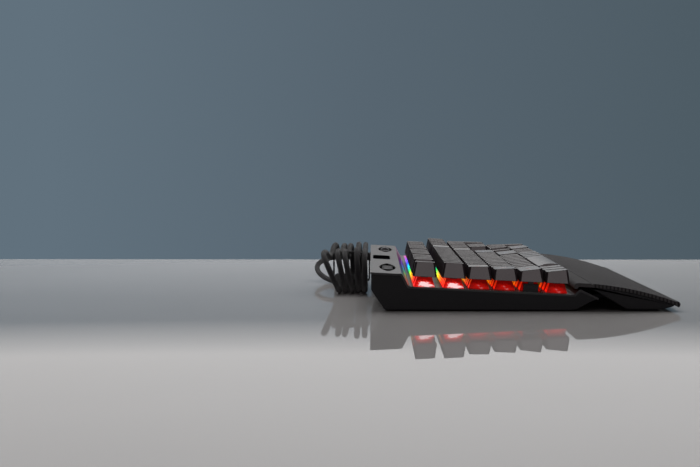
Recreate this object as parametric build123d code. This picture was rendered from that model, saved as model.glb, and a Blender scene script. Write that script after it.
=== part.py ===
from build123d import *
import math
import os

# A full-size gaming keyboard with a detachable palm rest and a hanked cable.
# +X runs from the user's left to their right, +Y to the rear, +Z up from the table.
# A setback is how far a point lies in front of the rear edge of the metal strip.

# Key layout: one unit is the centre distance of two plain keys
key_unit = 19.05
layout_units = 22.5
function_row_setback = 39.9
number_row_setback = 61.3
key_travel = 4.0

# Overall lengths along X: the keys' layout and a margin at each end
end_margin = 4.6875
strip_length = layout_units * key_unit + 2 * end_margin
strip_overhang = 1.0
plate_overhang = 0.5
deck_length = strip_length - 2 * strip_overhang
case_length = deck_length - 2 * plate_overhang
rest_length = deck_length

# Formed aluminium plate: rear strip, slope, key deck, valley, ridge and front lip
plate_sheet = 1.5
strip_rear_height = 28.7
strip_depth = 23.3
slope_foot_setback = 28.4
slope_foot_height = 18.3
deck_tilt = 2.8
valley_setback = 149.7
ridge_setback = 153.8
ridge_height = 16.3
lip_setback = 167.7
lip_height = 9.7
sheet_bend = 1.4
strip_corner = 4.0

# Keycaps
cap_gap = 0.95
cap_rise = 7.3
cap_side_slant = 0.29
cap_corner = 1.2
cap_wall = 1.3
cap_roof = 1.2
cap_cavity_taper = 15.0
dish_depth = 0.5
space_crown = 1.3

# Key switches, clipped into the plate and standing on the circuit board
switch_body = 13.9
switch_rim = 15.4
switch_height = 6.6
switch_taper = 17.5
switch_drop = 5.0
switch_floor = 0.8
plate_hole_clearance = 0.1
stem_width = 7.1
stem_depth = 5.3
stem_reach = 0.2
stem_clearance = 0.2

# Stabilisers beside the switch of each wide or tall key
stabiliser_width = 6.6
stabiliser_depth = 11.0
stabiliser_height = 5.4
stabiliser_foot_width = 3.4
stabiliser_foot_depth = 4.0
stabiliser_foot_dip = 0.8
stabiliser_clearance = 0.3
stabiliser_offset = 11.9
space_stabiliser_offset = 50.0

# Circuit board
board_thickness = 1.6
board_length = case_length - 8.0
board_rear_setback = 31.4
board_front_setback = 147.0
board_hole_radius = 1.7

# Moulded tray
case_rear_setback = 0.8
chamfer_top_height = 15.7
chamfer_foot_setback = 10.5
case_underside = 1.2
case_floor = 2.4
case_wall = 2.4
front_toe_setback = 152.4
front_toe_height = 2.0
front_chin_setback = 160.9
front_chin_height = 6.8
tray_front_setback = 149.2
boss_radius = 3.2

# Screws from below, through boss and board into studs under the plate
screw_end_distance = 27.5
screw_x = [screw_end_distance - case_length / 2, 0.0, case_length / 2 - screw_end_distance]
stud_radius = 2.0
screw_shank_radius = 1.2
screw_thread_clearance = 0.05
screw_hole_radius = 1.6
screw_head_radius = 2.7
screw_head_height = 1.7
screw_head_clearance = 0.3

# Rubber feet under the tray
foot_pad_height = 1.7
front_pad_length = 60.0
front_pad_setback = 138.4
rear_pad_length = 30.0
rear_pad_setback = 22.0
foot_pad_depth = 9.0
foot_pad_corner = 1.5
foot_pad_x = case_length / 2 - 52.5

# Folding tilt feet
tilt_foot_x = 99.0
tilt_foot_width = 34.0
tilt_foot_thickness = 5.6
tilt_foot_length = 26.0
tilt_foot_rib_gap = 22.0
hinge_setback = 17.5
hinge_height = 4.1
hinge_pin_radius = 1.5
hinge_pin_length = 2.0
hinge_clearance = 0.05
pocket_clearance = 0.4
pocket_wall = 1.6

# Lens-shaped control openings and the indicator window in the strip
lens_length = 108.0
lens_width = 12.6
lens_tip = 1.2
lens_end_distance = 23.0
lens_offset = -1.6
controls_right_x = (strip_length - lens_length) / 2 - lens_end_distance
controls_left_x = -controls_right_x
window_length = 61.0
window_width = 14.4
window_corner = 5.0
window_offset = 2.3
insert_clearance = 0.15
insert_recess = 0.7
insert_flange = 1.6
insert_flange_thickness = 1.2

# Round buttons and the knurled volume roller
button_radius = 4.2
button_clearance = 0.2
button_crown = 0.6
button_flange = 0.9
button_flange_thickness = 0.8
button_pitch = 16.0
mute_offset = -18.0
roller_offset = 10.0
roller_radius = 4.8
roller_length = 16.0
roller_proud = 1.5
roller_ridges = 28
roller_ridge_depth = 0.45
roller_axle_radius = 1.0
roller_axle_length = 2.0
roller_gap = 0.3
cheek_thickness = 2.4
cheek_depth = 5.4

# Low media keys over the number pad
media_width = 16.6
media_depth = 11.4
media_rise = 5.2
media_clearance = 0.25
media_flange = 1.0
media_flange_thickness = 1.0

# Palm rest: textured top skin on a wedge-shaped base
rest_nose_setback = 227.2
skin_lip_setback = 149.3
skin_lip_height = 16.6
skin_rear_setback = 152.8
skin_rear_height = 20.8
skin_middle_height = 16.9
skin_front_setback = rest_nose_setback - 3.2
skin_middle_setback = (skin_rear_setback + skin_front_setback) / 2
skin_front_height = 7.2
nose_height = 4.4
nose_hook_height = 3.0
skin_thickness = 2.7
base_rear_setback = 161.2
base_toe_setback = skin_middle_setback
base_nose_setback = rest_nose_setback - 5.4
base_front_setback = base_nose_setback - 7.6
base_nose_height = 3.6
base_underside = 1.3
base_inset = 0.8
groove_setback = 162.9
groove_width = 0.9
groove_depth = 0.5
rest_pad_x = rest_length / 2 - 48.0
rest_pad_length = 40.0
rest_pad_width = 12.0
rest_pad_setback = (base_toe_setback + base_front_setback) / 2

# Hooks that hold the rest to the tray's front edge
hook_x = 120.0
hook_width = 22.0
hook_thickness = 2.4
hook_height = 3.9
hook_board_gap = 1.0
hook_reach_setback = board_front_setback + hook_board_gap
hook_clearance = 0.5

# Cable, strain relief and plug
cable_diameter = 4.6
gland_x = strip_length / 2 - 69.0
gland_height = 20.6
gland_length = 20.0
gland_root_radius = 4.1
gland_tip_radius = 3.1
gland_flange_radius = 4.8
gland_flange_thickness = 1.6
gland_groove_count = 4
gland_groove_depth = 0.6

# Hank of loops standing on edge behind the tray
hank_loops = 5
hank_reach = 206.0
hank_near_x = gland_x - hank_reach
hank_bend_radius = 17.0
hank_bend_variation = 0.7
hank_run = 105.0
hank_pitch = 5.3
hank_waist = 8.2
hank_wall_gap = 2.0
hank_fan = 20.0
tie_width = 12.0
tie_thickness = 1.2
tie_clearance = 0.35
tie_tab_length = 9.0

# Plug at the cable's far end
plug_x = gland_x + 28.0
plug_offset = 9.0
plug_length = 27.0
plug_width = 15.0
plug_height = 8.0
plug_corner = 2.0
shell_length = 13.5
shell_width = 12.0
shell_height = 4.5
shell_wall = 0.5
shell_tongue = 1.9

tilt = math.radians(deck_tilt)
rear_y = rest_nose_setback / 2
cable_radius = cable_diameter / 2
left_key_x = -layout_units * key_unit / 2
case_floor_top = case_underside + case_floor


def side(setback, height):
    """A point of the end view, as Y and Z."""
    return (rear_y - setback, height)


def deck_height(setback):
    return slope_foot_height - math.tan(tilt) * (setback - slope_foot_setback)


def strip_height(setback):
    return strip_rear_height - math.tan(tilt) * setback


def on_slope(x, setback, height, rise):
    """A place that leans with the deck, rise millimetres above its surface."""
    normal = (0, -math.sin(tilt), math.cos(tilt))
    surface = Plane(origin=(x, rear_y - setback, height), x_dir=(1, 0, 0), z_dir=normal)
    return surface.location * Pos(0, 0, rise)


def on_deck(x, setback, rise=0.0):
    return on_slope(x, setback, deck_height(setback), rise)


def on_strip(x, rise=0.0):
    middle = strip_depth / 2
    return on_slope(x, middle, strip_height(middle), rise)


def on_lens(x, rise=0.0):
    """A place in the middle of a lens, which lies a little before the strip's middle."""
    return on_strip(x) * Pos(0, lens_offset, rise)


def along_length(outline, length):
    """An end-view outline made as long as a piece that spans the keyboard."""
    return extrude(Plane.YZ * outline, length / 2, both=True)


def block(width, depth, low, high):
    """A box centred on its own X and Y, from one height to another."""
    return Pos(0, 0, (low + high) / 2) * Box(width, depth, high - low)


def placed(shapes):
    return Compound(children=[piece for shape in shapes for piece in shape.solids()])


def write(name, shape):
    solids = shape.solids()
    export_step(solids[0] if len(solids) == 1 else Compound(children=solids), f"parts/{name}.step")


# Layout of the keys

rows = {
    "function": function_row_setback,
    "number": number_row_setback,
    "upper": number_row_setback + key_unit,
    "home": number_row_setback + 2 * key_unit,
    "lower": number_row_setback + 3 * key_unit,
    "bottom": number_row_setback + 4 * key_unit,
}

# For each row: height of the cap over its base, tilt of its top, rear and front inset
cap_profiles = {
    "function": (10.8, 0.0, 1.7, 2.0),
    "number": (11.1, 0.8, 1.7, 2.1),
    "upper": (9.5, -2.8, 1.1, 2.4),
    "home": (8.8, -5.3, 0.7, 2.2),
    "lower": (9.0, -9.5, 0.7, 2.3),
    "bottom": (9.2, -8.5, 0.8, 1.9),
}

# Keys with a press joint of their own: row, left edge in units, width in units
single_key_units = {
    "key_escape": ("function", 0, 1),
    "key_grave": ("number", 0, 1),
    "key_backspace": ("number", 13, 2),
    "key_tab": ("upper", 0, 1.5),
    "key_w": ("upper", 2.5, 1),
    "key_caps_lock": ("home", 0, 1.75),
    "key_a": ("home", 1.75, 1),
    "key_s": ("home", 2.75, 1),
    "key_d": ("home", 3.75, 1),
    "key_enter": ("home", 12.75, 2.25),
    "key_left_shift": ("lower", 0, 2.25),
    "key_right_shift": ("lower", 12.25, 2.75),
    "key_up": ("lower", 16.25, 1),
    "key_left_control": ("bottom", 0, 1.25),
    "key_space": ("bottom", 3.75, 6.25),
    "key_left": ("bottom", 15.25, 1),
    "key_down": ("bottom", 16.25, 1),
    "key_right": ("bottom", 17.25, 1),
}

# Tall keys of the number pad: the row of their rear half, left edge in units
tall_key_units = {
    "key_pad_plus": ("upper", 21.5),
    "key_pad_enter": ("lower", 21.5),
}

# Groups of plain keys: row, left edge of the run, width of each key, how many
key_group_units = {
    "keys_function": [("function", 2, 1, 4), ("function", 6.5, 1, 4), ("function", 11, 1, 4)],
    "keys_number": [("number", 1, 1, 12)],
    "keys_upper": [("upper", 1.5, 1, 1), ("upper", 3.5, 1, 10), ("upper", 13.5, 1.5, 1)],
    "keys_home": [("home", 4.75, 1, 8)],
    "keys_lower": [("lower", 2.25, 1, 10)],
    "keys_modifier": [("bottom", 1.25, 1.25, 2), ("bottom", 10, 1.25, 4)],
    "keys_navigation": [(row, 15.25, 1, 3) for row in ("function", "number", "upper")],
    "keys_pad": [("number", 18.5, 1, 4)]
    + [(row, 18.5, 1, 3) for row in ("upper", "home", "lower")]
    + [("bottom", 18.5, 2, 1), ("bottom", 20.5, 1, 1)],
}

media_keys = ["media_stop", "media_previous", "media_play", "media_next"]
media_left_units = 18.5


def unit_x(left, units):
    """Centre of a key whose left edge and width are given in units."""
    return left_key_x + (left + units / 2) * key_unit


def group_places(runs):
    return [
        (row, unit_x(left + number * units, units), rows[row], units, 1)
        for row, left, units, count in runs
        for number in range(count)
    ]


def tall_place(row, left):
    return (row, unit_x(left, 1), rows[row] + key_unit / 2, 1, 2)


# Every keycap node with the places of its caps: row, x, setback, units wide, units deep
cap_places = {
    name: [(row, unit_x(left, units), rows[row], units, 1)]
    for name, (row, left, units) in single_key_units.items()
}
cap_places |= {name: [tall_place(row, left)] for name, (row, left) in tall_key_units.items()}
cap_places |= {name: group_places(runs) for name, runs in key_group_units.items()}
all_places = [place for places in cap_places.values() for place in places]


def stabiliser_spots(units, units_deep):
    """Where the stabilisers of a key stand, from the key's centre; a tall key's are turned."""
    turn = Rot(0, 0, 90) if units_deep > 1 else Rot(0, 0, 0)
    if max(units, units_deep) < 2:
        return []
    offset = space_stabiliser_offset if units >= 6 else stabiliser_offset
    return [turn * Pos(hand * offset) for hand in (-1, 1)]


# Keycaps

def keycap(row, units, units_deep):
    """A hollow cap with its stem, standing over a key's centre on the deck surface."""
    height, top_tilt, rear_inset, front_inset = cap_profiles[row]
    width = units * key_unit - cap_gap
    depth = units_deep * key_unit - cap_gap
    slope = math.tan(math.radians(top_tilt)) / units_deep
    crown = space_crown if units >= 6 else 0.0

    def top(y):
        return cap_rise + height + slope * y

    front = -depth / 2 + front_inset
    rear = depth / 2 - rear_inset
    ridge = ((front + rear) / 2, top((front + rear) / 2) + crown)
    walls = Polyline((rear, top(rear)), (depth / 2, cap_rise), (-depth / 2, cap_rise), (front, top(front)))
    roof = ThreePointArc(walls @ 1, ridge, walls @ 0) if crown else Line(walls @ 1, walls @ 0)
    flank = extrude(Plane.YZ * make_face(walls + roof), width / 2, both=True)
    tallest = height + abs(slope) * depth + crown
    slant = cap_side_slant * tallest
    trapezium = Polyline(
        (-width / 2, cap_rise),
        (width / 2, cap_rise),
        (width / 2 - slant, cap_rise + tallest),
        (-width / 2 + slant, cap_rise + tallest),
        close=True,
    )
    shell = flank & extrude(Plane.XZ * make_face(trapezium), depth / 2, both=True)
    corners = shell.edges().filter_by(lambda edge: abs((edge @ 1 - edge @ 0).Z) > height / 2)
    shell = chamfer(corners, cap_corner)
    if not crown:
        half = width / 2 - cap_side_slant * height - dish_depth
        radius = (half**2 + dish_depth**2) / (2 * dish_depth)
        scoop = Rot(math.degrees(math.atan(slope)), 0, 0) * Rot(90, 0, 0) * Cylinder(radius, 2 * depth)
        shell -= Pos(0, 0, cap_rise + height - dish_depth + radius) * scoop
    ceiling = cap_rise + height - abs(slope) * depth / 2 - dish_depth - cap_roof
    hollow = Pos(0, 0, cap_rise) * Rectangle(width - 2 * cap_wall, depth - 2 * cap_wall)
    shell -= extrude(hollow, ceiling - cap_rise, taper=cap_cavity_taper)
    shell += block(stem_width, stem_depth, stem_reach, ceiling)
    foot_low = stabiliser_height - stabiliser_foot_dip
    for spot in stabiliser_spots(units, units_deep):
        shell += spot * block(stabiliser_foot_width, stabiliser_foot_depth, foot_low, ceiling)
    return shell


cap_shapes = {}


def cap_shape(row, units, units_deep):
    if (row, units, units_deep) not in cap_shapes:
        cap_shapes[row, units, units_deep] = keycap(row, units, units_deep)
    return cap_shapes[row, units, units_deep]


def keycaps(places):
    return placed(
        on_deck(x, setback) * cap_shape(row, units, deep) for row, x, setback, units, deep in places
    )


# Switches and stabilisers

def switch_housing():
    upper = extrude(Rectangle(switch_rim, switch_rim), switch_height, taper=switch_taper)
    lower = block(switch_body, switch_body, -switch_drop, 0)
    shaft = block(
        stem_width + 2 * stem_clearance,
        stem_depth + 2 * stem_clearance,
        switch_floor - switch_drop,
        switch_height,
    )
    return upper + lower - shaft


def stabiliser_housing():
    slot_width = stabiliser_foot_width + 2 * stabiliser_clearance
    slot_depth = stabiliser_foot_depth + 2 * stabiliser_clearance
    slot_floor = stabiliser_height - stabiliser_foot_dip - key_travel - stabiliser_clearance
    slot = block(slot_width, slot_depth, slot_floor, stabiliser_height)
    return block(stabiliser_width, stabiliser_depth, 0, stabiliser_height) - slot


def switch_housings():
    housing = switch_housing()
    return placed(on_deck(x, setback) * housing for row, x, setback, units, deep in all_places)


def stabiliser_housings():
    housing = stabiliser_housing()
    return placed(
        on_deck(x, setback) * spot * housing
        for row, x, setback, units, deep in all_places
        for spot in stabiliser_spots(units, deep)
    )


# Screws: their places and the axis they share, square to the deck

def screw_places():
    rear_row = (rows["function"] + rows["number"]) / 2
    front_row = (rows["lower"] + rows["bottom"]) / 2
    return [(x, setback) for setback in (rear_row, front_row) for x in screw_x]


def head_rise(setback):
    """Height of the tray's floor under a screw, measured along the deck's normal."""
    return (case_underside - deck_height(setback)) / math.cos(tilt)


def screws():
    pieces = []
    for x, setback in screw_places():
        seat = head_rise(setback) + case_floor
        head = Cylinder(screw_head_radius, screw_head_height, align=(Align.CENTER, Align.CENTER, Align.MAX))
        tip = -plate_sheet
        shank = Pos(0, 0, (seat + tip) / 2) * Cylinder(screw_shank_radius, tip - seat)
        pieces.append(on_deck(x, setback) * (Pos(0, 0, seat) * head + shank))
    return placed(pieces)


# Plate

deck_front_height = deck_height(valley_setback)
plate_line = Polyline(
    side(0, strip_rear_height),
    side(strip_depth, strip_height(strip_depth)),
    side(slope_foot_setback, slope_foot_height),
    side(valley_setback, deck_front_height),
    side(ridge_setback, ridge_height),
    side(lip_setback, lip_height),
)


def sheet_outline():
    """The plate seen from its end, with its bends rounded."""
    sheet = make_face(offset(plate_line, plate_sheet, side=Side.LEFT, kind=Kind.INTERSECTION))
    rear_limit, front_limit = rear_y - strip_depth / 2, rear_y - (ridge_setback + lip_setback) / 2
    bends = [corner for corner in sheet.vertices() if front_limit < corner.X < rear_limit]
    return fillet(bends, sheet_bend)


def lens(length, width):
    """A pointed oval, drawn with two shallow arcs."""
    upper = ThreePointArc((-length / 2, 0), (0, width / 2), (length / 2, 0))
    lower = ThreePointArc((length / 2, 0), (0, -width / 2), (-length / 2, 0))
    face = make_face(upper + lower)
    return fillet(face.vertices(), lens_tip)


def lens_outlines():
    """The opening for a lens insert and the insert's flange."""
    opening = lens(lens_length, lens_width)
    return opening, offset(opening, insert_flange)


def window_outline(clearance):
    """The window lies a little behind the middle of the strip."""
    length, width = window_length - 2 * clearance, window_width - 2 * clearance
    return Pos(0, window_offset) * RectangleRounded(length, width, window_corner - clearance)


def window_flange():
    """The window is held at its two ends."""
    outline = RectangleRounded(window_length + 2 * insert_flange, window_width, window_corner)
    return Pos(0, window_offset) * outline


def insert_outlines():
    """The three openings of the strip: where each is centred, its shape, and its insert's flange."""
    opening, flange = [Pos(0, lens_offset) * outline for outline in lens_outlines()]
    return [
        (controls_left_x, opening, flange),
        (0, window_outline(0), window_flange()),
        (controls_right_x, opening, flange),
    ]


def top_plate():
    sheet = along_length(sheet_outline(), strip_length)
    strip_plan = Pos(0, rear_y - strip_depth / 2) * RectangleRounded(strip_length, strip_depth, strip_corner)
    deck_span = lip_setback - strip_depth / 2
    deck_plan = Pos(0, rear_y - strip_depth / 2 - deck_span / 2) * Rectangle(deck_length, deck_span)
    plate = sheet & extrude(strip_plan + deck_plan, 2 * strip_rear_height)
    hole = switch_body + 2 * plate_hole_clearance
    cuts = [on_deck(x, setback) * Box(hole, hole, 4 * plate_sheet) for _, x, setback, _, _ in all_places]
    media_hole = Box(media_width + 2 * media_clearance, media_depth + 2 * media_clearance, 4 * plate_sheet)
    cuts += [on_deck(x, rows["function"]) * media_hole for x in media_places()]
    cuts += [on_strip(x) * extrude(hole, 2 * plate_sheet, both=True) for x, hole, _ in insert_outlines()]
    plate -= cuts
    stud_low, stud_high = -switch_drop, -plate_sheet
    stud = Cylinder(stud_radius, stud_high - stud_low) - Cylinder(
        screw_shank_radius + screw_thread_clearance, stud_high - stud_low
    )
    for x, setback in screw_places():
        plate += on_deck(x, setback, (stud_low + stud_high) / 2) * stud
    return plate


# Circuit board

def circuit_board():
    depth = (board_front_setback - board_rear_setback) / math.cos(tilt)
    middle = (board_front_setback + board_rear_setback) / 2
    rise = -switch_drop - board_thickness / 2
    board = on_deck(0, middle, rise) * Box(board_length, depth, board_thickness)
    holes = [on_deck(x, setback, rise) * Cylinder(board_hole_radius, 2 * board_thickness)
             for x, setback in screw_places()]
    return board - holes


# Tray

def case_outline():
    """End view of the tray as a solid block, closed above by the plate's underside."""
    block_face = make_face(
        Polyline(
            side(case_rear_setback, strip_rear_height),
            side(strip_depth, strip_height(strip_depth)),
            side(slope_foot_setback, slope_foot_height),
            side(valley_setback, deck_front_height),
            side(ridge_setback, ridge_height),
            side(lip_setback, lip_height),
            side(front_chin_setback, front_chin_height),
            side(front_toe_setback, front_toe_height),
            side(front_toe_setback - 2 * front_toe_height, case_underside),
            side(chamfer_foot_setback, case_underside),
            side(case_rear_setback, chamfer_top_height),
            close=True,
        )
    )
    return (block_face - sheet_outline()).faces().sort_by(SortBy.AREA)[-1]


def tray_outline():
    """The hollow of the tray, open upwards."""
    return make_face(
        Polyline(
            side(case_rear_setback + case_wall, 2 * strip_rear_height),
            side(case_rear_setback + case_wall, chamfer_top_height),
            side(chamfer_foot_setback + case_wall, case_floor_top),
            side(tray_front_setback, case_floor_top),
            side(tray_front_setback, 2 * strip_rear_height),
            close=True,
        )
    )


def pocket_box(extra, low, high):
    """The space round a folded tilt foot, grown by a wall or a clearance."""
    rear = hinge_setback - tilt_foot_thickness / 2 - extra
    front = hinge_setback + tilt_foot_length + extra
    width = tilt_foot_width + 2 * extra
    return Pos(0, rear_y - (rear + front) / 2) * block(width, front - rear, low, high)


def foot_pads():
    pieces = []
    for length, setback in ((front_pad_length, front_pad_setback), (rear_pad_length, rear_pad_setback)):
        pad = block(length, foot_pad_depth, 0, foot_pad_height)
        pad = chamfer(pad.edges().filter_by(Axis.Z), foot_pad_corner)
        pieces += [Pos(x, rear_y - setback) * pad for x in (-foot_pad_x, foot_pad_x)]
    return placed(pieces)


def bottom_case():
    tray = along_length(tray_outline(), case_length - 2 * case_wall)
    case = along_length(case_outline(), case_length) - tray
    pocket_top = hinge_height + tilt_foot_thickness / 2 + pocket_clearance
    for x in (-tilt_foot_x, tilt_foot_x):
        case += Pos(x) * pocket_box(pocket_clearance + pocket_wall, case_underside, pocket_top + pocket_wall)
        case -= Pos(x) * pocket_box(pocket_clearance, -case_underside, pocket_top)
        pin_hole = Rot(0, 90, 0) * Cylinder(
            hinge_pin_radius + hinge_clearance,
            tilt_foot_width + 2 * (hinge_pin_length + pocket_clearance),
        )
        case -= Pos(x, rear_y - hinge_setback, hinge_height) * pin_hole
    board_under = -switch_drop - board_thickness
    for x, setback in screw_places():
        floor = head_rise(setback)
        boss = on_deck(x, setback) * (
            Pos(0, 0, (floor + case_floor / 2 + board_under) / 2)
            * Cylinder(boss_radius, board_under - floor - case_floor / 2)
        )
        case += boss & tray
        hole = Pos(0, 0, (floor + board_under) / 2) * Cylinder(screw_hole_radius, board_under - floor + 2)
        recess = Pos(0, 0, floor + case_floor) * Cylinder(
            screw_head_radius + screw_head_clearance,
            2 * case_floor,
            align=(Align.CENTER, Align.CENTER, Align.MAX),
        )
        case -= on_deck(x, setback) * (hole + recess)
    for pad in foot_pads().solids():
        case -= pad
    for x, _, flange in insert_outlines():
        case -= on_strip(x, -plate_sheet) * extrude(
            offset(flange, pocket_clearance), -insert_flange_thickness - pocket_clearance
        )
    gland_hole = Rot(90, 0, 0) * Cylinder(gland_root_radius + insert_clearance, 4 * case_wall)
    case -= Pos(gland_x, rear_y - case_rear_setback, gland_height) * gland_hole
    slot_low = hook_height - hook_clearance
    slot_high = hook_height + hook_thickness + hook_clearance
    slot_depth = front_chin_setback - hook_reach_setback + hook_clearance
    for x in (-hook_x, hook_x):
        slot = block(hook_width + 2 * hook_clearance, slot_depth, slot_low, slot_high)
        case -= Pos(x, rear_y - front_chin_setback + slot_depth / 2) * slot
    return case


# Tilt feet

def tilt_foot(x):
    half = tilt_foot_thickness / 2
    tip = hinge_setback + tilt_foot_length
    outline = Polyline(
        side(hinge_setback, hinge_height + half),
        side(tip - half, hinge_height + half),
        side(tip, hinge_height),
        side(tip, hinge_height - half),
        side(hinge_setback, hinge_height - half),
        close=True,
    )
    hinge = Pos(0, rear_y - hinge_setback, hinge_height) * Rot(0, 90, 0)
    foot = along_length(make_face(outline), tilt_foot_width) + hinge * Cylinder(half, tilt_foot_width)
    window_depth = tilt_foot_length - 3 * tilt_foot_thickness
    foot -= Pos(0, rear_y - hinge_setback - tilt_foot_length / 2) * block(
        tilt_foot_rib_gap, window_depth, 0, hinge_height + tilt_foot_thickness
    )
    pin_length = tilt_foot_width + 2 * (hinge_pin_length + pocket_clearance / 2)
    return Pos(x) * (foot + hinge * Cylinder(hinge_pin_radius, pin_length))


# Controls in the strip

def control_panel(holes):
    """A lens insert: its face sits low in the opening and its flange under the plate."""
    face_outline = lens(lens_length - 4 * insert_clearance, lens_width - 2 * insert_clearance)
    face = extrude(face_outline, plate_sheet - insert_recess)
    flange = extrude(lens_outlines()[1], -insert_flange_thickness)
    return Pos(0, 0, -plate_sheet) * (face + flange) - holes


def round_button(x):
    """A proud button that stops with its flange against the panel's underside."""
    low = -plate_sheet - insert_flange_thickness
    high = button_crown - insert_recess
    stem = Pos(0, 0, (low + high) / 2) * Cylinder(button_radius, high - low)
    stem = chamfer(stem.edges().group_by(Axis.Z)[-1], button_crown / 2, button_crown)
    flange = Pos(0, 0, low - button_flange_thickness / 2) * Cylinder(
        button_radius + button_flange, button_flange_thickness
    )
    return on_lens(x) * (stem + flange)


def button_hole(x):
    return Pos(x) * Cylinder(button_radius + button_clearance, 4 * plate_sheet)


def roller_axis_rise():
    return roller_proud - roller_radius


def control_panel_left():
    holes = [button_hole(x) for x in (-button_pitch, 0, button_pitch)]
    return on_lens(controls_left_x) * control_panel(holes)


def control_panel_right():
    slot_half = roller_radius + roller_gap
    slot = Pos(roller_offset) * Box(roller_length + 2 * roller_gap, 2 * slot_half, 8 * plate_sheet)
    panel = control_panel([button_hole(mute_offset)])
    cheek_high = -plate_sheet - insert_flange_thickness
    for hand in (-1, 1):
        x = roller_offset + hand * (roller_length / 2 + roller_gap + cheek_thickness / 2)
        panel += Pos(x) * block(cheek_thickness, 2 * slot_half, cheek_high - cheek_depth, cheek_high)
    bore_length = roller_length + 2 * (roller_gap + roller_axle_length + roller_gap)
    bore = Rot(0, 90, 0) * Cylinder(roller_axle_radius + hinge_clearance, bore_length)
    panel -= Pos(roller_offset, 0, roller_axis_rise()) * bore
    return on_lens(controls_right_x) * (panel - slot)


def volume_roller():
    """A knurled barrel: straight ridges along its axle, which turns in the two cheeks."""
    ring = []
    for step in range(2 * roller_ridges):
        radius = roller_radius - (step % 2) * roller_ridge_depth
        angle = math.pi * step / roller_ridges
        ring.append((radius * math.cos(angle), radius * math.sin(angle)))
    barrel = extrude(Plane.YZ * make_face(Polyline(*ring, close=True)), roller_length / 2, both=True)
    axle_length = roller_length + 2 * (roller_gap + roller_axle_length)
    axle = Rot(0, 90, 0) * Cylinder(roller_axle_radius, axle_length)
    return on_lens(controls_right_x + roller_offset, roller_axis_rise()) * (barrel + axle)


def indicator_window():
    flange = extrude(window_flange(), -insert_flange_thickness)
    pane = extrude(window_outline(insert_clearance), plate_sheet)
    return on_strip(0, -plate_sheet) * (pane + flange)


# Media keys

def media_places():
    return [unit_x(media_left_units + number, 1) for number in range(len(media_keys))]


def media_key(x):
    """A low rubber-dome key that rises through the deck and stops under it."""
    cap = block(media_width, media_depth, -plate_sheet, media_rise)
    cap = chamfer(cap.edges().group_by(Axis.Z)[-1], 1.0)
    flange = block(
        media_width + 2 * media_flange,
        media_depth + 2 * media_flange,
        -plate_sheet - media_flange_thickness,
        -plate_sheet,
    )
    return on_deck(x, rows["function"]) * (cap + flange)


# Palm rest

def skin_curve(drop):
    """The rest's long crowned top, or the same curve lower down."""
    return ThreePointArc(
        side(skin_rear_setback, skin_rear_height - drop),
        side(skin_middle_setback, skin_middle_height - drop),
        side(skin_front_setback, skin_front_height - drop),
    )


def palm_rest_skin():
    top = skin_curve(0)
    under = skin_curve(skin_thickness)
    nose = ThreePointArc(
        top @ 1, side(rest_nose_setback, nose_height), side(rest_nose_setback - 1.2, nose_hook_height)
    )
    hook = Line(nose @ 1, under @ 1)
    lip_inner = side(skin_lip_setback + skin_thickness, skin_lip_height)
    lip = Polyline(under @ 0, lip_inner, side(skin_lip_setback + 0.6, skin_lip_height))
    heel = ThreePointArc(
        lip @ 1,
        side(skin_lip_setback + 0.8, (skin_lip_height + skin_rear_height) / 2 + 1),
        top @ 0,
    )
    outline = make_face(top + nose + hook + under + lip + heel)
    skin = along_length(outline, rest_length)
    floor = skin_curve(groove_depth)
    above = make_face(
        floor
        + Polyline(
            floor @ 1,
            side(skin_front_setback, strip_rear_height),
            side(skin_rear_setback, strip_rear_height),
            floor @ 0,
        )
    )
    slot = Pos(*side(groove_setback, 0)) * Rectangle(groove_width, 2 * strip_rear_height)
    groove = above & slot
    return skin - along_length(groove, rest_length)


def palm_rest_base():
    """The wedge under the skin."""
    crown = skin_curve(skin_thickness)
    outline = make_face(
        crown
        + Polyline(
            crown @ 1,
            side(base_nose_setback, base_nose_height),
            side(base_front_setback, base_underside),
            side(base_toe_setback, base_underside),
            side(base_rear_setback, skin_rear_height - skin_thickness - 0.9),
            crown @ 0,
        )
    )
    return along_length(outline, rest_length - 2 * base_inset)


def palm_rest_pads():
    pad = block(rest_pad_length, rest_pad_width, 0, base_underside)
    return placed(Pos(x, rear_y - rest_pad_setback) * pad for x in (-rest_pad_x, 0, rest_pad_x))


def palm_rest_hooks():
    """Two flat tongues that plug into slots in the front of the tray."""
    front = base_toe_setback - 6
    tongue = Pos(0, rear_y - (front + hook_reach_setback) / 2) * block(
        hook_width, front - hook_reach_setback, hook_height, hook_height + hook_thickness
    )
    base = palm_rest_base()
    return placed(Pos(x) * tongue - base for x in (-hook_x, hook_x))


# Cable, strain relief, hank, tie and plug

def gland():
    """A ribbed, tapering strain relief, held by a flange inside the rear wall."""
    root = case_rear_setback + case_wall
    points = [(0, -root - gland_flange_thickness), (gland_flange_radius, -root - gland_flange_thickness)]
    points += [(gland_flange_radius, -root), (gland_root_radius, -root), (gland_root_radius, 1.0)]
    step = (gland_length - 3.0) / gland_groove_count
    for number in range(gland_groove_count):
        share = (number + 0.5) / gland_groove_count
        radius = gland_root_radius + (gland_tip_radius - gland_root_radius) * share
        start = 2.0 + number * step
        points += [(radius - gland_groove_depth, start), (radius - gland_groove_depth, start + step * 0.35)]
        points += [(radius, start + step * 0.35), (radius, start + step * 0.9)]
    points += [(gland_tip_radius - gland_groove_depth, gland_length), (0, gland_length)]
    profile = make_face(Polyline(*points, close=True))
    return Pos(gland_x, rear_y, gland_height) * revolve(profile, Axis.Y)


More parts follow.
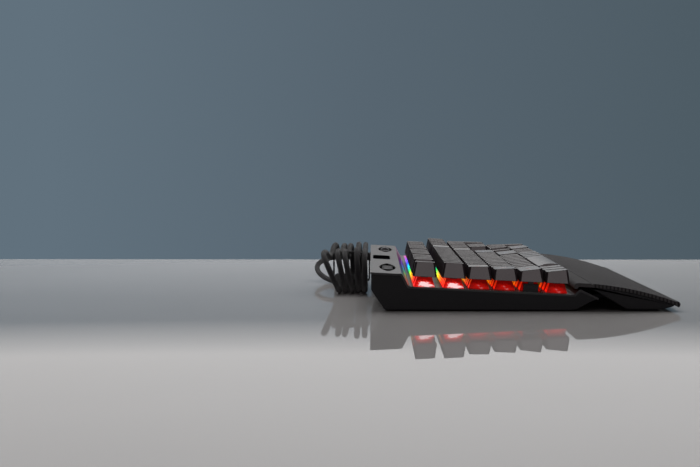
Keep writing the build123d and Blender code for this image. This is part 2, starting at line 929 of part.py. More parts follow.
def biarc(start, start_way, end, end_way):
    """Two arcs that leave start along start_way and reach end along end_way."""
    span = end - start
    ways = start_way + end_way
    spare = ways.dot(ways) - 4
    along = span.dot(ways)
    if abs(spare) < 1e-9:
        reach = span.dot(span) / (2 * along)
    else:
        reach = (along - math.sqrt(along**2 - spare * span.dot(span))) / spare
    middle = (start + start_way * reach + end - end_way * reach) / 2
    middle_way = (end - end_way * reach - start - start_way * reach).normalized()
    if (middle_way - start_way).length < 1e-6:
        return [Edge.make_line(start, middle), Edge.make_line(middle, end)]
    return [
        TangentArc(start, middle, tangent=start_way).edge(),
        TangentArc(middle, end, tangent=middle_way).edge(),
    ]


def hank_bend(number):
    """Loops differ a little in size."""
    return hank_bend_radius - hank_bend_variation * math.sin(2.1 * number) ** 2


def hank_y(number):
    """Loops are laid from the outside in towards the tray; number -1 is where the lead arrives."""
    return rear_y + hank_wall_gap + cable_radius + (hank_loops - 1 - number) * hank_pitch


near_x = hank_near_x + hank_bend_radius + cable_radius
far_x = near_x + hank_run
waist_x = (near_x + far_x) / 2


def end_turn(number, x, lean, way):
    """Three stations of a half turn that leans outwards and stands on the table."""
    radius = hank_bend(number)
    up = Vector(0, math.sin(lean), math.cos(lean))
    foot = Vector(x, hank_y(number), cable_radius)
    centre = foot + up * radius
    out = Vector(way, 0, 0)
    return [(foot, out), (centre + out * radius, up), (centre + up * radius, out * -1)]


def hank_stations():
    """Points and directions along the hank, one loop after another."""
    stations = [(Vector(far_x + cable_diameter, hank_y(-1), cable_radius), Vector(-1, 0, 0))]
    middle = cable_radius + hank_bend_radius
    for number in range(hank_loops):
        lean = math.radians(hank_fan) * (hank_loops - 1 - number) / (hank_loops - 1)
        y = hank_y(number)
        stations.append((Vector(waist_x, y + hank_pitch / 2, middle - hank_waist), Vector(-1, 0, 0)))
        stations += end_turn(number, near_x, lean, -1)
        stations.append((Vector(waist_x, y, middle + hank_waist), Vector(1, 0, 0)))
        if number < hank_loops - 1:
            foot, apex, crest = end_turn(number, far_x, lean / 3, 1)
            stations += [(crest[0], Vector(1, 0, 0)), (apex[0], apex[1] * -1), (foot[0], Vector(-1, 0, 0))]
    crest_z = cable_radius + 2 * hank_bend(hank_loops - 1)
    stations.append((Vector(far_x, y, crest_z), Vector(1, 0, 0)))
    stations.append((Vector(far_x + cable_diameter, y, crest_z), Vector(1, 0, 0)))
    return stations


def hank_path():
    stations = hank_stations()
    edges = []
    for (start, start_way), (end, end_way) in zip(stations, stations[1:]):
        edges += biarc(start, start_way, end, end_way)
    return Wire(edges)


def tube(path):
    section = Plane(path @ 0, z_dir=path % 0) * Circle(cable_radius)
    return sweep(section, path=path)


def corner_radii(points):
    """The largest arc that each corner's two runs allow."""
    radii = []
    for before, corner, after in zip(points, points[1:], points[2:]):
        turn = math.radians((corner - before).get_angle(after - corner))
        shorter = min((corner - before).length, (after - corner).length)
        radii.append(0.45 * shorter / math.tan(turn / 2))
    return radii


def free_cable(points):
    return tube(FilletPolyline(*points, radius=corner_radii(points)).wire())


def behind(x, gap, height):
    """A point behind the keyboard, gap millimetres past its rear edge."""
    return Vector(x, rear_y + gap, height)


def lead_points():
    outer = hank_y(-1) - rear_y
    return [
        behind(gland_x, gland_length, gland_height),
        behind(gland_x, 32.0, gland_height),
        behind(gland_x - 6.0, 43.0, 18.6),
        behind(gland_x - 19.0, 49.5, 14.2),
        behind(gland_x - 33.5, 48.5, 9.0),
        behind(gland_x - 47.0, 43.0, 5.0),
        behind(gland_x - 58.0, outer + 6.0, 2.7),
        behind(gland_x - 68.0, outer, cable_radius),
        behind(far_x + cable_diameter, outer, cable_radius),
    ]


def tail_points():
    inner = hank_y(hank_loops - 1) - rear_y
    crest = cable_radius + 2 * hank_bend(hank_loops - 1)
    return [
        behind(far_x + cable_diameter, inner, crest),
        behind(plug_x - 96.0, inner, crest),
        behind(plug_x - 84.0, inner + 1.2, crest - 6.5),
        behind(plug_x - 73.0, inner + 2.4, 20.5),
        behind(plug_x - 62.0, inner + 3.6, 9.8),
        behind(plug_x - 50.0, inner + 4.6, 3.9),
        behind(plug_x - 36.0, inner + 6.0, cable_radius),
        behind(plug_x - 23.0, inner + 8.2, cable_radius),
        behind(plug_x - 12.0, inner + plug_offset, plug_height / 2),
        behind(plug_x, inner + plug_offset, plug_height / 2),
    ]


def tie():
    """A hook-and-loop strap closed round the waist of the hank."""
    bow = (hank_bend_radius - hank_waist) * (tie_width / hank_run) ** 2
    low_y, high_y = hank_y(hank_loops - 1), hank_y(0) + hank_pitch / 2
    inner_y = high_y - low_y + cable_diameter + 2 * tie_clearance
    inner_z = 2 * (hank_waist + cable_radius + bow + tie_clearance)
    loop = RectangleRounded(inner_y + 2 * tie_thickness, inner_z + 2 * tie_thickness, cable_radius)
    loop -= RectangleRounded(inner_y, inner_z, cable_radius - tie_thickness)
    loop += Pos(0, (inner_z + 3 * tie_thickness) / 2) * Rectangle(tie_tab_length, tie_thickness)
    centre = Pos((low_y + high_y) / 2, cable_radius + hank_bend_radius)
    return Pos(waist_x) * extrude(Plane.YZ * (centre * loop), tie_width / 2, both=True)


def plug_place():
    return Pos(plug_x, hank_y(hank_loops - 1) + plug_offset, plug_height / 2)


def plug_body():
    body = Pos(plug_length / 2) * Box(plug_length, plug_width, plug_height)
    body = fillet(body.edges().filter_by(Axis.X), plug_corner)
    return plug_place() * chamfer(body.edges().group_by(Axis.X)[0], 1.0)


def plug_shell():
    shell = Pos(shell_length / 2) * Box(shell_length, shell_width, shell_height)
    mouth_height = shell_height - 2 * shell_wall - shell_tongue
    mouth = Pos(shell_length / 2 + 3, 0, (shell_height - mouth_height) / 2 - shell_wall) * Box(
        shell_length, shell_width - 2 * shell_wall, mouth_height
    )
    return plug_place() * (Pos(plug_length) * (shell - mouth))


def main():
    os.makedirs("parts", exist_ok=True)
    write("bottom_case", bottom_case())
    write("top_plate", top_plate())
    write("circuit_board", circuit_board())
    write("switch_housings", switch_housings())
    write("stabiliser_housings", stabiliser_housings())
    write("case_screws", screws())
    write("case_feet", foot_pads())
    write("control_panel_left", control_panel_left())
    write("control_panel_right", control_panel_right())
    write("indicator_window", indicator_window())
    write("tilt_foot_left", tilt_foot(-tilt_foot_x))
    write("tilt_foot_right", tilt_foot(tilt_foot_x))
    for name, place in (("profile_button", -1), ("brightness_button", 0), ("lock_button", 1)):
        write(name, round_button(controls_left_x + place * button_pitch))
    write("mute_button", round_button(controls_right_x + mute_offset))
    write("volume_roller", volume_roller())
    for name, x in zip(media_keys, media_places()):
        write(name, media_key(x))
    for name, places in cap_places.items():
        write(name, keycaps(places))
    write("palm_rest_skin", palm_rest_skin())
    write("palm_rest_base", palm_rest_base())
    write("palm_rest_pads", palm_rest_pads())
    write("palm_rest_hooks", palm_rest_hooks())
    write("cable_gland", gland())
    write("cable_lead", free_cable(lead_points()))
    write("cable_tail", free_cable(tail_points()))
    write("cable_hank", tube(hank_path()))
    write("cable_tie", tie())
    write("plug_body", plug_body())
    write("plug_shell", plug_shell())


main()
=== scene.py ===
import math

import bpy
from mathutils import Matrix, Vector


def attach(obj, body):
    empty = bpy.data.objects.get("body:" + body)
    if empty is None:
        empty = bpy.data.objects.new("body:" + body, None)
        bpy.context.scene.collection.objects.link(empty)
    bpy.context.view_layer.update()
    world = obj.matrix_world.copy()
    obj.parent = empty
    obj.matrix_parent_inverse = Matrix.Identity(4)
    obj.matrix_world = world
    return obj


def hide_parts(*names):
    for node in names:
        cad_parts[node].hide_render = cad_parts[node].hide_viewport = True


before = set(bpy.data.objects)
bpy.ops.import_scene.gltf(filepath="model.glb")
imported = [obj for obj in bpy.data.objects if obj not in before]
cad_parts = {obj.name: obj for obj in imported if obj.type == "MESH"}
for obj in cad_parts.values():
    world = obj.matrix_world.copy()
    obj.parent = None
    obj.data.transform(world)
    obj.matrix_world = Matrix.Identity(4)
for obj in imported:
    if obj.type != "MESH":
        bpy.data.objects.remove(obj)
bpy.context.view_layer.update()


# The table, the wall behind it and the studio light.
# The table is a pale laminate with a thin gloss lacquer, so it mirrors the keyboard faintly and
# darkly. It ends a little past the keyboard's far end, in front of a slate-blue wall.
def linear(colour, alpha=1.0):
    """A Blender colour from sRGB hex such as 8C8C8C."""
    parts = [int(colour[i:i + 2], 16) / 255 for i in (0, 2, 4)]
    return [part / 12.92 if part <= 0.04045 else ((part + 0.055) / 1.055) ** 2.4 for part in parts] + [alpha]


def add(tree, kind, settings={}, **sockets):
    """Adds a node of this kind. Each socket, given by its name with _ for a space or by _ and its
    number, gets a value or a link."""
    node = tree.nodes.new("ShaderNode" + kind)
    for name, value in settings.items():
        setattr(node, name, value)
    for name, value in sockets.items():
        key = int(name[1:]) if name[1:].isdigit() else name.replace("_", " ")
        if isinstance(value, bpy.types.NodeSocket):
            tree.links.new(value, node.inputs[key])
        else:
            node.inputs[key].default_value = value
    return node


def new_material(name):
    material = bpy.data.materials.new(name)
    material.use_nodes = True
    material.node_tree.nodes.clear()
    return material, material.node_tree


def finish_material(tree, shader):
    output = add(tree, "OutputMaterial")
    tree.links.new(shader.outputs[0], output.inputs["Surface"])


def ramp(tree, factor, stops):
    """A colour ramp with stops of (position, hex colour)."""
    node = add(tree, "ValToRGB", Fac=factor)
    elements = node.color_ramp.elements
    while len(elements) < len(stops):
        elements.new(0.5)
    for element, (position, colour) in zip(elements, stops):
        element.position = position
        element.color = linear(colour)
    return node.outputs["Color"]


scene = bpy.context.scene
scene.view_settings.view_transform = "Standard"

length, depth = 0.438, 0.2272
near_end, far_end, rear_edge = -length / 2, length / 2, depth / 2
table_beyond_far_end = 0.265
table_length, table_width = 6, 12

bpy.ops.object.select_all(action="DESELECT")
bpy.ops.mesh.primitive_plane_add(size=1)
table = bpy.context.object
table.name = "table"
table.scale = (table_length, table_width, 1)
table.location = (far_end + table_beyond_far_end - table_length / 2, 0, 0)
bpy.ops.object.transform_apply(location=True, scale=True)

# Laminate: a very even pale grey with faint clouds a third of a metre wide, under a smooth lacquer
laminate, tree = new_material("lacquered laminate")
place = add(tree, "TexCoord").outputs["Object"]
cloud = add(tree, "TexNoise", Vector=place, Scale=3.0, Detail=2.0).outputs["Fac"]
laminate_colour = ramp(tree, cloud, [(0.3, "979594"), (0.7, "9D9B9A")])
finish_material(tree, add(tree, "BsdfPrincipled", Base_Color=laminate_colour, Roughness=0.5, IOR=1.45,
                          Coat_Weight=0.78, Coat_Roughness=0.004, Coat_IOR=1.5))
table.data.materials.append(laminate)

# The wall is a flat slate blue as far up as the picture goes, and pale above it. The ceiling, the
# sides of the room and the end behind the camera are dim, which only shows in reflections.
# The limits are parts of a unit vector: X along the keyboard, Y sideways and Z up.
slate_half_width = 0.17
slate_top, pale_from = 0.086, 0.104
wall_full, wall_gone = 0.7, 0.4
ceiling_from, ceiling_full = 0.27, 0.36
world = bpy.data.worlds.new("studio")
scene.world = world
world.use_nodes = True
tree = world.node_tree
tree.nodes.clear()
rays = add(tree, "LightPath")
seen = add(tree, "Math", {"operation": "MAXIMUM"}, _0=rays.outputs["Is Camera Ray"],
           _1=rays.outputs["Is Glossy Ray"]).outputs[0]
seen = add(tree, "Math", {"operation": "MAXIMUM"}, _0=seen, _1=rays.outputs["Is Transmission Ray"]).outputs[0]
heading = add(tree, "SeparateXYZ", Vector=add(tree, "TexCoord").outputs["Generated"])
sideways = add(tree, "MapRange", _0=heading.outputs["Y"], _1=-slate_half_width,
               _2=slate_half_width).outputs[0]
slate = ramp(tree, sideways, [(0.0, "4E5C65"), (0.5, "576570"), (1.0, "61717D")])
upwards = add(tree, "MapRange", _0=heading.outputs["Z"], _1=slate_top, _2=pale_from).outputs[0]
wall = add(tree, "MixRGB", Fac=upwards, Color1=slate, Color2=linear("E8E7E7")).outputs[0]
aside = add(tree, "MapRange", _0=heading.outputs["X"], _1=wall_full, _2=wall_gone).outputs[0]
overhead = add(tree, "MapRange", _0=heading.outputs["Z"], _1=ceiling_from, _2=ceiling_full).outputs[0]
dim = add(tree, "Math", {"operation": "MAXIMUM"}, _0=aside, _1=overhead).outputs[0]
dim = add(tree, "Math", {"operation": "MULTIPLY"}, _0=dim, _1=rays.outputs["Is Glossy Ray"]).outputs[0]
wall = add(tree, "MixRGB", Fac=dim, Color1=wall, Color2=linear("5E5E60")).outputs[0]
soft_light = add(tree, "Background", Color=linear("F4F4F4"), Strength=0.08)
wall_view = add(tree, "Background", Color=wall, Strength=1.0)
mix = add(tree, "MixShader", _0=seen, _1=soft_light.outputs[0], _2=wall_view.outputs[0])
tree.links.new(mix.outputs[0], add(tree, "OutputWorld").inputs["Surface"])


def softbox(name, place, aim, width, height, power, colour):
    """A lamp behind a rectangular cloth, turned to its aim; sizes in metres, power in watts."""
    data = bpy.data.lights.new(name, "AREA")
    data.shape = "RECTANGLE"
    data.size, data.size_y = width, height
    data.energy = power
    data.color = linear(colour)[:3]
    lamp = bpy.data.objects.new(name, data)
    scene.collection.objects.link(lamp)
    lamp.location = place
    lamp.rotation_euler = (Vector(aim) - Vector(place)).to_track_quat("-Z", "Y").to_euler()
    return lamp


softbox("overhead softbox", (0.3, -0.1, 1.3), (0.1, 0, 0), 1.4, 1.0, 8, "FFFDFC")
softbox("key softbox", (-2.35, 0.1, 1.3), (-0.2, 0.02, 0.02), 1.5, 1.0, 7, "FFF2F4")
low_softbox = softbox("low softbox", (-2.2, 0.1, 0.03), (-0.1, 0.05, 0.03), 0.5, 0.05, 10, "FFF6F6")
far_softbox = softbox("far softbox", (0.75, -0.15, 0.6), (0.5, -0.2, 0), 1.8, 0.6, 18, "FFFFFF")
for lamp in (low_softbox, far_softbox):
    lamp.visible_camera = False
    lamp.visible_glossy = False

# The camera looks along the keyboard from its left end, level with the rear edge
camera_height = 0.1123
camera_distance = 1.368
camera_inset = 0.0021
lens_mm, sensor_width_mm = 96.2, 36
camera_pitch = math.radians(2.31)
camera_yaw = math.radians(0.705)
camera = bpy.data.objects.new("camera", bpy.data.cameras.new("camera"))
scene.collection.objects.link(camera)
camera.data.lens = lens_mm
camera.data.sensor_width = sensor_width_mm
camera.data.clip_end = 50
camera.location = (near_end - camera_distance, rear_edge - camera_inset, camera_height)
camera.rotation_euler = (math.pi / 2 - camera_pitch, 0, camera_yaw - math.pi / 2)
scene.camera = camera


# The cable: five wires in a soft sleeve of braided polyester, 4.6 mm thick and about 1.8 m long.
# It leaves a ribbed rubber strain relief in the rear wall, is folded into a hank of five loops
# that stands on edge behind the keyboard in a hook-and-loop tie, and ends in its plug.
cable_diameter = 0.0046
cable_radius = cable_diameter / 2
gland_x, gland_height = 0.150, 0.0206
gland_tip = (gland_x, rear_edge + 0.020, gland_height)

hank_loops = 5
hank_bend_radius = 0.017
hank_bend_variation = 0.0007
hank_pitch = 0.0053
hank_waist = 0.0082
hank_leans = [math.radians(lean) for lean in (24, 13, 12, 3, 1)]
hank_shifts = (-0.003, 0.002, -0.001, 0.003, -0.002)
hank_near_end = -0.056
hank_bend_spacing = 0.105
hank_clearance = 0.002
near_bend_x = hank_near_end + hank_bend_radius + cable_radius
far_bend_x = near_bend_x + hank_bend_spacing
inner_run_y = rear_edge + hank_clearance + cable_radius


def hank_y(number):
    """Where a loop stands: the last one is next to the rear wall."""
    return inner_run_y + (hank_loops - 1 - number) * hank_pitch


def hank_bend(number):
    """The radius of a loop's half turns: no two loops are pulled equally tight."""
    return hank_bend_radius - hank_bend_variation * math.sin(2.1 * number) ** 2


def half_turn(number, x, lean, way):
    """Four points round the outside of a half turn, from the table upwards."""
    radius = hank_bend(number)
    up = Vector((0, math.sin(lean), math.cos(lean)))
    foot = Vector((x + hank_shifts[number], hank_y(number), cable_radius))
    centre = foot + up * radius
    out = Vector((way, 0, 0))
    reach = radius / math.cos(math.pi / 8)
    angles = [-math.pi / 2 + (step + 0.5) * math.pi / 4 for step in range(4)]
    return [centre + (out * math.cos(angle) + up * math.sin(angle)) * reach for angle in angles]


def run_points(start, end, waist):
    """Four points along a run, which closes towards the waist in its middle."""
    low, high = start.lerp(end, 0.2), start.lerp(end, 0.8)
    middle = [start.lerp(end, share) for share in (0.42, 0.58)]
    for point in middle:
        point.z = waist
    return [low, *middle, high]


def hank_points():
    """The loops one after another, along the foot, round the near bend and back along the crest."""
    points = []
    middle = cable_radius + hank_bend_radius
    arrival = Vector((far_bend_x, hank_y(-1), cable_radius))
    for number in range(hank_loops):
        lean = hank_leans[number]
        near_turn = half_turn(number, near_bend_x, lean, -1)
        foot = Vector((near_bend_x, hank_y(number), cable_radius))
        crest = foot + Vector((0, math.sin(lean), math.cos(lean))) * 2 * hank_bend(number)
        points += run_points(arrival, foot, middle - hank_waist) + near_turn
        if number < hank_loops - 1:
            far_turn = half_turn(number, far_bend_x, lean / 3, 1)
            far_lean = Vector((0, math.sin(lean / 3), math.cos(lean / 3)))
            arrival = Vector((far_bend_x, hank_y(number), cable_radius))
            far_crest = arrival + far_lean * 2 * hank_bend(number)
            points += run_points(crest, far_crest, middle + hank_waist) + far_turn[::-1]
        else:
            far_crest = Vector((far_bend_x, hank_y(number), cable_radius + 2 * hank_bend(number)))
            points += run_points(crest, far_crest, middle + hank_waist)
    return points


hank_first = far_bend_x + cable_diameter
lead_points = [
    gland_tip,
    (gland_x, rear_edge + 0.0320, gland_height),
    (0.144, rear_edge + 0.0430, 0.0186),
    (0.131, rear_edge + 0.0495, 0.0142),
    (0.1165, rear_edge + 0.0485, 0.0090),
    (0.103, rear_edge + 0.0430, 0.0050),
    (0.092, hank_y(-1) + 0.0060, 0.0027),
    (0.082, hank_y(-1), cable_radius),
    (hank_first, hank_y(-1), cable_radius),
]
hank_top = cable_radius + 2 * hank_bend(hank_loops - 1)
plug_offset = 0.009
plug_axis_height = 0.004
tail_points = [
    (hank_first, inner_run_y, hank_top),
    (0.082, inner_run_y, hank_top),
    (0.094, inner_run_y + 0.0012, hank_top - 0.0065),
    (0.105, inner_run_y + 0.0024, 0.0205),
    (0.116, inner_run_y + 0.0036, 0.0098),
    (0.128, inner_run_y + 0.0046, 0.0039),
    (0.142, inner_run_y + 0.0060, cable_radius),
    (0.155, inner_run_y + 0.0082, cable_radius),
    (0.166, inner_run_y + plug_offset, plug_axis_height),
    (0.178, inner_run_y + plug_offset, plug_axis_height),
]
route = lead_points + hank_points() + tail_points

curve = bpy.data.curves.new("cable route", "CURVE")
curve.dimensions = "3D"
curve.resolution_u = 5
spline = curve.splines.new("NURBS")
spline.points.add(len(route) - 1)
for point, place in zip(spline.points, route):
    point.co = (*place, 1)
spline.order_u = 3
spline.use_endpoint_u = True
line = bpy.data.objects.new("cable route", curve)
scene.collection.objects.link(line)
bpy.context.view_layer.update()
bare = bpy.data.meshes.new_from_object(line.evaluated_get(bpy.context.evaluated_depsgraph_get()))
bpy.data.meshes.remove(bare)

curve.bevel_depth = cable_radius
curve.bevel_resolution = 5
curve.use_fill_caps = True
bpy.ops.object.select_all(action="DESELECT")
line.select_set(True)
bpy.context.view_layer.objects.active = line
bpy.ops.object.convert(target="MESH")
cable = bpy.context.object
cable.name = "cable"
bpy.ops.object.shade_smooth()

# Braided polyester: charcoal yarns crossing at a slant, with a soft sheen on each yarn, and painted
# lighter where they rise and darker where they sink, as painted highlight and shade. They are drawn
# wider than real ones, so that the weave shows.
braid, tree = new_material("braided polyester sleeve")
wound = add(tree, "UVMap").outputs["UV"]
axes = add(tree, "SeparateXYZ", Vector=wound)
cable_length = 1.77
yarn_pitch = 0.0021
yarns_round = 8
along = add(tree, "Math", {"operation": "MULTIPLY"}, _0=axes.outputs["X"],
            _1=math.tau * cable_length / yarn_pitch).outputs[0]
around = add(tree, "Math", {"operation": "MULTIPLY"}, _0=axes.outputs["Y"],
             _1=math.tau * yarns_round).outputs[0]
left = add(tree, "Math", {"operation": "ADD"}, _0=along, _1=around).outputs[0]
right = add(tree, "Math", {"operation": "SUBTRACT"}, _0=along, _1=around).outputs[0]
left = add(tree, "Math", {"operation": "SINE"}, _0=left).outputs[0]
right = add(tree, "Math", {"operation": "SINE"}, _0=right).outputs[0]
weave = add(tree, "Math", {"operation": "MULTIPLY_ADD"}, _0=left, _1=right, _2=0.5).outputs[0]
yarn_bump = add(tree, "Bump", Strength=0.7, Distance=0.0004, Height=weave).outputs[0]
yarn_painted_light_and_shade = ramp(tree, weave, [(0.1, "0B0B0C"), (0.9, "29292B")])
finish_material(tree, add(tree, "BsdfPrincipled", Base_Color=yarn_painted_light_and_shade, Roughness=0.65,
                          Specular_IOR_Level=0.25, Normal=yarn_bump, Sheen_Weight=0.12, Sheen_Roughness=0.4))
cable.data.materials.clear()
cable.data.materials.append(braid)
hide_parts("cable_lead", "cable_hank", "cable_tail")
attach(cable, "keyboard")


def soften(node, body, radius, segments=2, reshape=None):
    """A copy of a CAD node with its moulding or sheet edges rounded off; it stands for the node."""
    flat, sharp, smooth = math.radians(0.5), math.radians(30), math.radians(40)
    broad_radius = 0.0005
    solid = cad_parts[node]
    bpy.ops.object.select_all(action="DESELECT")
    piece = bpy.data.objects.new(node + "_finished", solid.data.copy())
    scene.collection.objects.link(piece)
    piece.select_set(True)
    bpy.context.view_layer.objects.active = piece
    bpy.ops.object.mode_set(mode="EDIT")
    bpy.ops.mesh.select_all(action="SELECT")
    bpy.ops.mesh.remove_doubles(threshold=1e-6)
    bpy.ops.mesh.dissolve_limited(angle_limit=flat)
    bpy.ops.object.mode_set(mode="OBJECT")
    if reshape:
        reshape(piece)
        bpy.ops.object.mode_set(mode="EDIT")
        bpy.ops.mesh.select_all(action="SELECT")
        bpy.ops.mesh.dissolve_degenerate(threshold=0.00005)
        bpy.ops.mesh.dissolve_limited(angle_limit=flat)
        bpy.ops.object.mode_set(mode="OBJECT")
    edges = piece.modifiers.new("edges", "BEVEL")
    edges.width = radius
    edges.segments = segments
    edges.limit_method = "ANGLE"
    edges.angle_limit = sharp
    # Clamping keeps a small rounding within a narrow face, but takes a broad one or a cap's away
    edges.use_clamp_overlap = reshape is None and radius < broad_radius
    bpy.ops.object.modifier_apply(modifier="edges")
    bpy.ops.object.shade_smooth_by_angle(angle=smooth)
    flats = piece.modifiers.new("flats", "WEIGHTED_NORMAL")
    flats.keep_sharp = True
    bpy.ops.object.modifier_apply(modifier="flats")
    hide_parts(node)
    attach(piece, body)
    return piece


def dress(piece, material):
    piece.data.materials.clear()
    piece.data.materials.append(material)


def moulded(name, colour, roughness, grain_mm, grain_depth_mm, ior=1.5):
    """An injection-moulded plastic or rubber with the spark-eroded grain of its mould, which is
    drawn several times coarser than a real one, so that it shows close up."""
    material, tree = new_material(name)
    place = add(tree, "TexCoord").outputs["Object"]
    grain = add(tree, "TexNoise", Vector=place, Scale=1000 / grain_mm, Detail=2.0).outputs["Fac"]
    bump = add(tree, "Bump", Strength=0.5, Distance=grain_depth_mm / 1000, Height=grain).outputs[0]
    # Handling leaves patches about 17 mm wide a little smoother or rougher
    wear = add(tree, "TexNoise", Vector=place, Scale=60.0, Detail=3.0).outputs["Fac"]
    rough = add(tree, "MapRange", _0=wear, _1=0.3, _2=0.7, _3=roughness - 0.02,
                _4=roughness + 0.02).outputs[0]
    finish_material(tree, add(tree, "BsdfPrincipled", Base_Color=linear(colour), Roughness=rough, IOR=ior,
                              Normal=bump))
    return material


# Woven nylon is dull all over, rubber has a broad weak shine, and the plug's polycarbonate is satin
tie = soften("cable_tie", "keyboard", 0.0002)
tie_nylon = moulded("woven nylon tie", "171718", 0.75, 0.5, 0.12)
dress(tie, tie_nylon)
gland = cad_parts["cable_gland"]
gland_rubber = moulded("strain relief rubber", "1A1A1B", 0.6, 0.3, 0.02)
dress(gland, gland_rubber)
plug = soften("plug_body", "keyboard", 0.0003)
dress(plug, moulded("plug polycarbonate", "191A1C", 0.4, 0.4, 0.02))

# Nickel plating: bright and slightly warm, with a blurred mirror image
plug_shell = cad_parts["plug_shell"]
nickel, tree = new_material("nickel-plated steel")
finish_material(tree, add(tree, "BsdfPrincipled", Base_Color=linear("C9C8C6"), Metallic=1.0, Roughness=0.22))
dress(plug_shell, nickel)


# The tray: one injection moulding in black ABS with a fine matt grain, open upwards.
# Rubber feet are glued into recesses under it, two tilt feet snap onto their pins, and steel
# screws go up through it and the board into studs under the plate.

# Grained ABS: nearly black, with a soft shine along its edges
abs_black = moulded("grained black ABS", "101012", 0.42, 0.35, 0.02, ior=1.35)
tray = soften("bottom_case", "keyboard", 0.0004)
dress(tray, abs_black)
for hand in ("left", "right"):
    tilt_foot = soften("tilt_foot_" + hand, "tilt_foot_" + hand, 0.0003)
    dress(tilt_foot, abs_black)

# Rubber feet: matt, with no clear highlight
foot_rubber = moulded("foot rubber", "161617", 0.7, 0.5, 0.03)
feet = soften("case_feet", "keyboard", 0.0003)
dress(feet, foot_rubber)

# Black zinc plating: a dark metal with a satin shine
zinc, tree = new_material("black zinc-plated steel")
finish_material(tree, add(tree, "BsdfPrincipled", Base_Color=linear("4A4A4D"), Metallic=1.0, Roughness=0.4))
dress(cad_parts["case_screws"], zinc)


# The circuit board: glass-fibre laminate under a matt black-green solder mask.
# It carries the switches and hangs from them under the plate.
# The copper tracks under the mask are drawn wider than real ones, so that they show.
solder_mask, tree = new_material("solder mask on glass fibre")
place = add(tree, "TexCoord").outputs["Object"]
trace_width_mm = 1.2
traces = add(tree, "TexBrick", {"offset": 0.5}, Vector=place, Scale=1000 / (trace_width_mm * 8),
             Color1=linear("12241C"), Color2=linear("0F1F19"), Mortar=linear("1E3A2C"), Mortar_Size=0.04)
finish_material(tree, add(tree, "BsdfPrincipled", Base_Color=traces.outputs["Color"], Roughness=0.45))
dress(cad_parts["circuit_board"], solder_mask)


# The plate: 1.5 mm aluminium sheet, pierced, folded lengthwise, brushed along its length and
# clear anodised. The lamps under the keys throw their colour on the deck around the switches.
key_unit = 0.01905
deck_tilt = math.radians(2.8)
slope_foot = 0.0284
slope_foot_height = 0.0183
slope_middle, slope_half_depth = 0.0262, 0.003
deck_start = rear_edge - slope_foot
key_field_front = -0.0325


def light_colour(tree, place):
    """The keys' lamps run through the rainbow from the left end to the right."""
    along = add(tree, "SeparateXYZ", Vector=place).outputs["X"]
    share = add(tree, "MapRange", _0=along, _1=near_end, _2=far_end).outputs[0]
    return ramp(tree, share, [(0.0, "FF1208"), (0.13, "FF1A05"), (0.21, "FF6A00"), (0.3, "FFC400"),
                              (0.41, "22FF20"), (0.53, "00D8FF"), (0.64, "1450FF"), (0.81, "8A20FF"),
                              (1.0, "FF20C0")])


# Brushed and anodised: fine scratches along its length give a satin, streaked shine. They are
# drawn wider than real ones, so that they show. The sheet is painted darker and less metallic where
# the caps shade it, as painted shade, and painted darker on the faces at its ends. It has a painted
# glow in the lamps' colour just behind the rear row and low on the slope.
plate = soften("top_plate", "keyboard", 0.0003)
brushed, tree = new_material("brushed anodised aluminium")
place = add(tree, "TexCoord").outputs["Object"]
scratch_length_mm, scratch_width_mm = 40, 0.12
stretched = add(tree, "Mapping", Vector=place,
                Scale=(1000 / scratch_length_mm, 1000 / scratch_width_mm, 1000 / scratch_width_mm)).outputs[0]
scratches = add(tree, "TexNoise", Vector=stretched, Scale=1.0, Detail=2.0, Roughness=0.6).outputs["Fac"]
scratch_bump = add(tree, "Bump", Strength=0.25, Distance=0.00004, Height=scratches).outputs[0]
sheet_colour = ramp(tree, scratches, [(0.25, "686769"), (0.75, "787779")])
sheet_gloss = add(tree, "MapRange", _0=scratches, _1=0.3, _2=0.7, _3=0.3, _4=0.42).outputs[0]
axes = add(tree, "SeparateXYZ", Vector=place)
# Painted light: masks for the patch of deck behind the rear row and the band low on the slope, which glow
behind_caps = add(tree, "MapRange", _0=axes.outputs["Y"], _1=deck_start - 0.003,
                  _2=deck_start - 0.0037).outputs[0]
first_row = add(tree, "MapRange", _0=axes.outputs["Y"], _1=deck_start - 0.012,
                _2=deck_start - 0.008).outputs[0]
normal = add(tree, "SeparateXYZ", Vector=add(tree, "NewGeometry").outputs["Normal"])
upper_face = add(tree, "Math", {"operation": "GREATER_THAN"}, _0=normal.outputs["Z"], _1=0.9).outputs[0]
deck_glow_patch = add(tree, "Math", {"operation": "MULTIPLY"}, _0=behind_caps, _1=first_row).outputs[0]
deck_glow_patch = add(tree, "Math", {"operation": "MULTIPLY"}, _0=deck_glow_patch, _1=upper_face).outputs[0]
sloping = add(tree, "Math", {"operation": "LESS_THAN"}, _0=normal.outputs["Y"], _1=-0.6).outputs[0]
at_rear = add(tree, "Math", {"operation": "COMPARE"}, _0=axes.outputs["Y"], _1=rear_edge - slope_middle,
              _2=slope_half_depth).outputs[0]
slope_glow_band = add(tree, "Math", {"operation": "MULTIPLY"}, _0=sloping, _1=at_rear).outputs[0]
deck_power, slope_power = 0.7, 0.07
deck_painted_glow = add(tree, "Math", {"operation": "MULTIPLY"}, _0=deck_glow_patch, _1=deck_power).outputs[0]
slope_painted_glow = add(tree, "Math", {"operation": "MULTIPLY"}, _0=slope_glow_band, _1=slope_power).outputs[0]
plate_painted_glow = add(tree, "Math", {"operation": "ADD"}, _0=deck_painted_glow, _1=slope_painted_glow).outputs[0]
